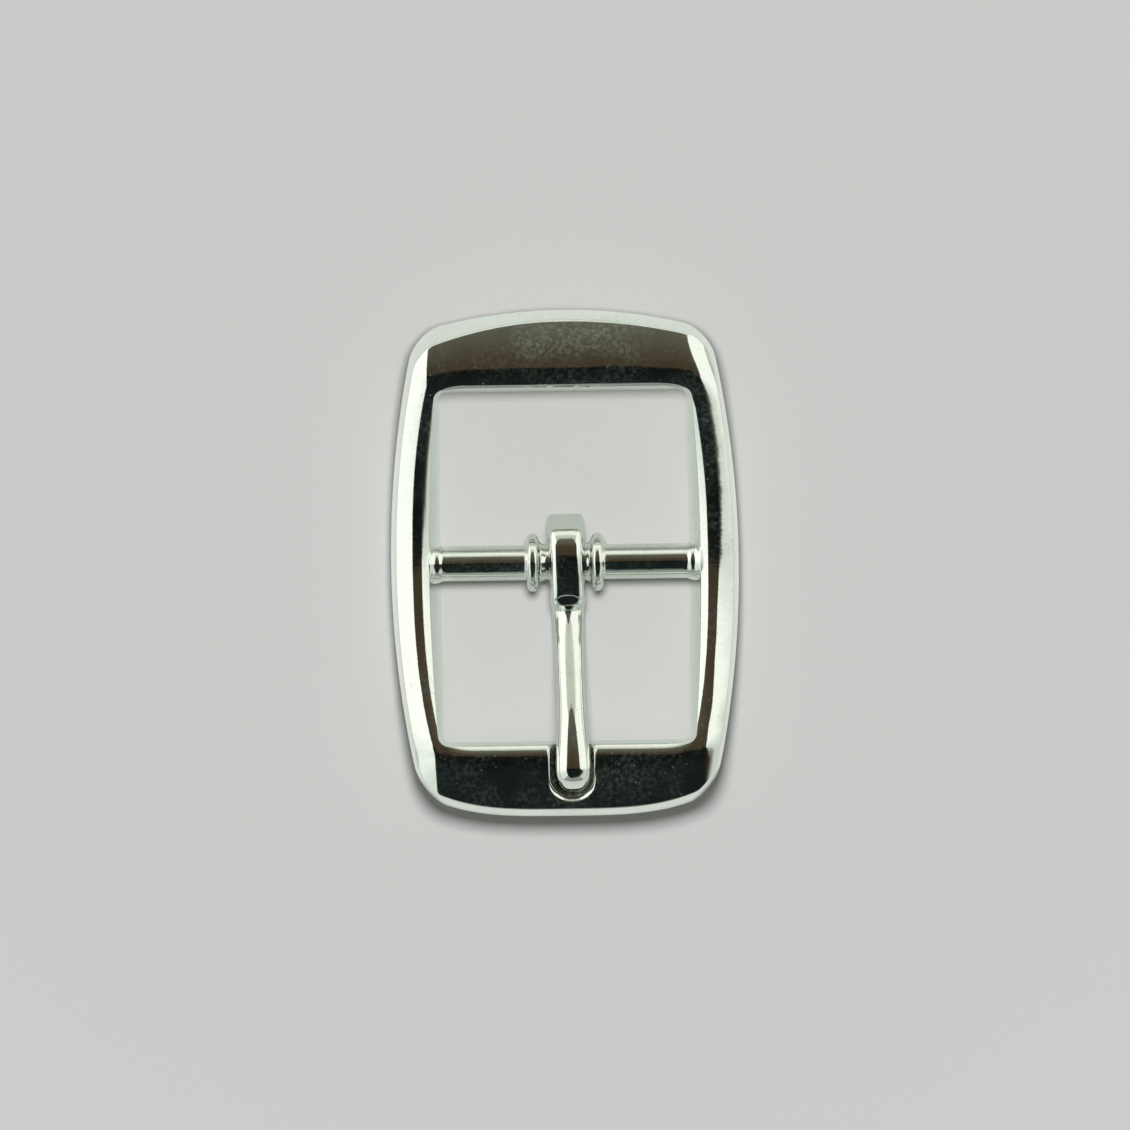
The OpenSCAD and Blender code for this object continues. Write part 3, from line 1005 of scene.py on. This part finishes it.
# %% [markdown]
# ## Light and surroundings
#
# The buckle lies in a light tent and is seen from above, past the opening for the camera. The tent's bright
# walls stand left and right. Overhead is the dark opening, brown on the upper side and black on the lower,
# which is why every level surface shows dark with a sharp change of tone. The tent could be built from
# sheets and lamps, but then every tone would depend on all the others. So the world is painted by direction
# for reflections only, and is a plain pale grey for everything else.

# %% Directions in the tent
# Below this a part of a direction counts as this, so nothing is divided by zero.
smallest = 0.0001
world = bpy.data.worlds.new("light tent")
bpy.context.scene.world = world
world.use_nodes = True
tree = world.node_tree
tree.nodes.clear()

direction = add_node(tree, "ShaderNodeTexCoord").outputs["Generated"]
dx, dy, dz = add_node(tree, "ShaderNodeSeparateXYZ", Vector=direction).outputs
flat_part = add_node(tree, "ShaderNodeCombineXYZ", i0=dx, i1=dy).outputs[0]
flat_part = add_node(tree, VECTOR, {"operation": "LENGTH"}, i0=flat_part).outputs["Value"]
flat_part = add_node(tree, MATHS, {"operation": "MAXIMUM"}, i0=flat_part, i1=smallest).outputs[0]
sideways = add_node(tree, MATHS, {"operation": "ABSOLUTE"}, i0=dx).outputs[0]
sideways = add_node(tree, MATHS, {"operation": "DIVIDE"}, i0=sideways, i1=flat_part).outputs[0]
along = add_node(tree, MATHS, {"operation": "DIVIDE"}, i0=dy, i1=flat_part).outputs[0]

# Degrees away from straight up, towards the right and towards the upper end.
up_part = add_node(tree, MATHS, {"operation": "MAXIMUM"}, i0=dz, i1=smallest).outputs[0]
angles = []
for part in (dx, dy):
    angle = add_node(tree, MATHS, {"operation": "ARCTAN2"}, i0=part, i1=up_part).outputs[0]
    angles.append(add_node(tree, MATHS, {"operation": "DEGREES"}, i0=angle).outputs[0])
angle_right, angle_up = angles
on_right = add_node(tree, MATHS, {"operation": "GREATER_THAN"}, i0=dx, i1=0.0).outputs[0]
on_upper = add_node(tree, MATHS, {"operation": "GREATER_THAN"}, i0=dy, i1=0.0).outputs[0]
print("directions take", len(tree.nodes), "nodes")

# %% [markdown]
# ## The dark opening
#
# The opening is nearly a rectangle with rounded corners. It reaches further to the lower end than to the
# upper one, and on the lower right its edge runs out wide and soft. A mirror turned by some degrees looks
# twice as far to the side, so a rail's surface shows the opening up to a tilt of half the reach. That is
# how the reaches were found: from the tilt of the metal where each dark line ends.

# %% The opening's reach
reach_side, reach_side_more, reach_upper, reach_lower = 37.0, 26.0, 43.5, 65.0
# A higher power makes the corners squarer. The lower side's own tone and edge come in over this many degrees.
opening_power = 2.6
lower_change = -11.0

toward_lower = add_node(
    tree, MATHS, {"operation": "DIVIDE", "use_clamp": True}, i0=angle_up, i1=lower_change
).outputs[0]
lower_right = add_node(tree, MATHS, {"operation": "MULTIPLY"}, i0=toward_lower, i1=on_right).outputs[0]
limit_side = add_node(
    tree, MATHS, {"operation": "MULTIPLY_ADD"}, i0=lower_right, i1=reach_side_more, i2=reach_side
).outputs[0]
limit_end = add_node(tree, MIX, NUMBER, i0=on_upper, i2=reach_lower, i3=reach_upper)
powers = []
for angle, limit in ((angle_right, limit_side), (angle_up, limit_end.outputs[0])):
    share = add_node(tree, MATHS, {"operation": "DIVIDE"}, i0=angle, i1=limit).outputs[0]
    share = add_node(tree, MATHS, {"operation": "ABSOLUTE"}, i0=share).outputs[0]
    powers.append(add_node(tree, MATHS, {"operation": "POWER"}, i0=share, i1=opening_power).outputs[0])
off_centre = add_node(tree, MATHS, {"operation": "ADD"}, i0=powers[0], i1=powers[1]).outputs[0]

# The edge is crisp, but soft on the lower right.
edges = []
for inside, outside in ((0.86, 1.12), (0.45, 1.2)):
    edges.append(add_node(tree, RANGE, SMOOTH, i0=off_centre, i1=inside, i2=outside, i3=1.0, i4=0.0))
opening = add_node(
    tree, MIX, NUMBER, i0=lower_right, i2=edges[0].outputs[0], i3=edges[1].outputs[0]
).outputs[0]
print("opening from", -reach_lower, "to", reach_upper, "degrees along the strap and", reach_side, "to a side")

# %% [markdown]
# ## The tent's tones
#
# What is left is a list of tones, painted one over the other: side walls that darken towards the floor, end
# walls with a seam, and the opening's brown and black. Each could be a node group wired by hand. A table
# says it all in one place, so a tone is easy to find and to change.

# %% What the tones follow
seam_at = 75.0
off_seam = add_node(tree, MATHS, {"operation": "SUBTRACT"}, i0=angle_up, i1=seam_at).outputs[0]
off_seam = add_node(tree, MATHS, {"operation": "ABSOLUTE"}, i0=off_seam).outputs[0]
rays = add_node(tree, "ShaderNodeLightPath").outputs
measures = {
    "sideways": sideways, "along": along, "height": dz, "on right": on_right,
    "angle right": angle_right, "angle up": angle_up, "off seam": off_seam,
    "toward lower": toward_lower, "opening": opening,
    "glossy ray": rays["Is Glossy Ray"], "camera ray": rays["Is Camera Ray"],
}

# Columns: the layer, what it follows and how, from and to, and the tone before and after. A tone is a
# colour with its brightness, or an earlier layer.
LAYERS = [
    ("left wall", "along", "SMOOTHSTEP", -0.45, 0.1, ("#dbe6de", 1.0), ("#fdfff6", 1.15)),
    ("right wall", "along", "SMOOTHSTEP", -0.1, 0.1, ("#ccd2c9", 1.0), ("#f6faf0", 1.08)),
    ("both walls", "on right", "LINEAR", 0, 1, "left wall", "right wall"),
    ("walls", "height", "SMOOTHSTEP", 0.01, 0.09, ("#bcc6ba", 1.0), "both walls"),
    ("upper wall", "angle up", "SMOOTHSTEP", 48, 57, ("#c2c7b8", 1.0), ("#e8eadf", 1.1)),
    ("upper wall's foot", "angle up", "SMOOTHSTEP", 72, 80, "upper wall", ("#c8d6ca", 1.1)),
    ("upper end", "off seam", "SMOOTHSTEP", 1, 4, ("#8c978b", 1.0), "upper wall's foot"),
    ("lower end", "angle up", "SMOOTHSTEP", -89, -80, ("#626a62", 1.0), ("#8f978e", 1.0)),
    ("both ends", "along", "SMOOTHSTEP", -0.2, 0.2, "lower end", "upper end"),
    ("tent", "sideways", "SMOOTHSTEP", 0.5, 0.66, "both ends", "walls"),
    ("brown", "angle up", "SMOOTHSTEP", 4, 40, ("#40372a", 1.0), ("#5c5c4e", 1.0)),
    ("lower black", "toward lower", "LINEAR", 0, 1, ("#0a0b0a", 1.0), ("#161d1b", 1.0)),
    ("black", "angle right", "SMOOTHSTEP", 34, 48, "lower black", ("#3b3022", 1.0)),
    ("dark", "angle up", "SMOOTHSTEP", -1.5, 1.5, "black", "brown"),
    ("mirrored", "opening", "LINEAR", 0, 1, "tent", "dark"),
    ("unseen", "glossy ray", "LINEAR", 0, 1, ("#cccccb", 0.27), "mirrored"),
    ("seen", "camera ray", "LINEAR", 0, 1, "unseen", ("#cccccb", 1.0)),
]
print(len(LAYERS), "layers of tone follow", len(measures), "measures")

# %% Paint the world
layers = {}
for name, measure, way, start, end, before, after in LAYERS:
    share = add_node(tree, RANGE, {"interpolation_type": way}, i0=measures[measure], i1=start, i2=end)
    tones = []
    for tone in (before, after):
        if isinstance(tone, str):
            tones.append(layers[tone])
        else:
            hex_colour, brightness = tone
            tones.append([v * brightness for v in linear(hex_colour)[:3]] + [1.0])
    mix = add_node(tree, MIX, COLOUR, i0=share.outputs[0], i6=tones[0], i7=tones[1])
    layers[name] = mix.outputs[2]
background = add_node(tree, "ShaderNodeBackground", Color=layers["seen"], Strength=1.0)
add_node(tree, "ShaderNodeOutputWorld", Surface=background.outputs[0])
print(world.name, "has", len(tree.nodes), "nodes")

# %% [markdown]
# ## The key light
#
# One soft lamp hangs low over the upper half of the buckle. From there the shadows fall outwards, so the
# window stays clear and a short soft shadow shows below the lower rail. Its light is kept from fading with
# distance, so that the floor stays nearly even. Mirror-like metal would show it as a spot, so it is hidden
# from reflections: the tent above gives those.

# %% The key light
lamp_height, lamp_radius, lamp_energy = 0.14, 0.02, 26.0
select_none()
bpy.ops.object.light_add(type="POINT", location=(under_lamp[0], under_lamp[1], lamp_height))
key = bpy.context.object
key.name = "key_light"
key.data.energy = lamp_energy
key.data.shadow_soft_size = lamp_radius
key.data.use_nodes = True
tree = key.data.node_tree
falloff = add_node(tree, "ShaderNodeLightFalloff", Strength=1.0)
tree.links.new(falloff.outputs["Constant"], tree.nodes["Emission"].inputs["Strength"])
key.visible_glossy = False
print("key light", lamp_height, "m above the floor")

# %% [markdown]
# ## Camera
#
# The photograph looks straight down. From about 60 cm, with a long lens, the walls of the window show only
# as thin lines, as they do there. A turn of under a degree matches how the buckle lies.

# %% The camera
# The picture is view_width metres across at the height of focus_height.
view_height, focus_height = 0.6, 0.004
view_width = 0.11797
view_shift, view_turn = -0.0003, -0.0142
camera_data = bpy.data.cameras.new("camera")
camera_data.sensor_width = 36.0
camera_data.lens = camera_data.sensor_width * view_height / view_width
camera_data.clip_start = 0.01
camera = bpy.data.objects.new("camera", camera_data)
bpy.context.scene.collection.objects.link(camera)
camera.location = (0.0, view_shift, view_height + focus_height)
camera.rotation_euler = (0, 0, view_turn)
bpy.context.scene.camera = camera

colours = bpy.context.scene.view_settings
colours.view_transform = "Standard"
colours.look = "None"
print("lens:", round(camera_data.lens, 1), "mm, turned", round(math.degrees(view_turn), 2), "degrees")
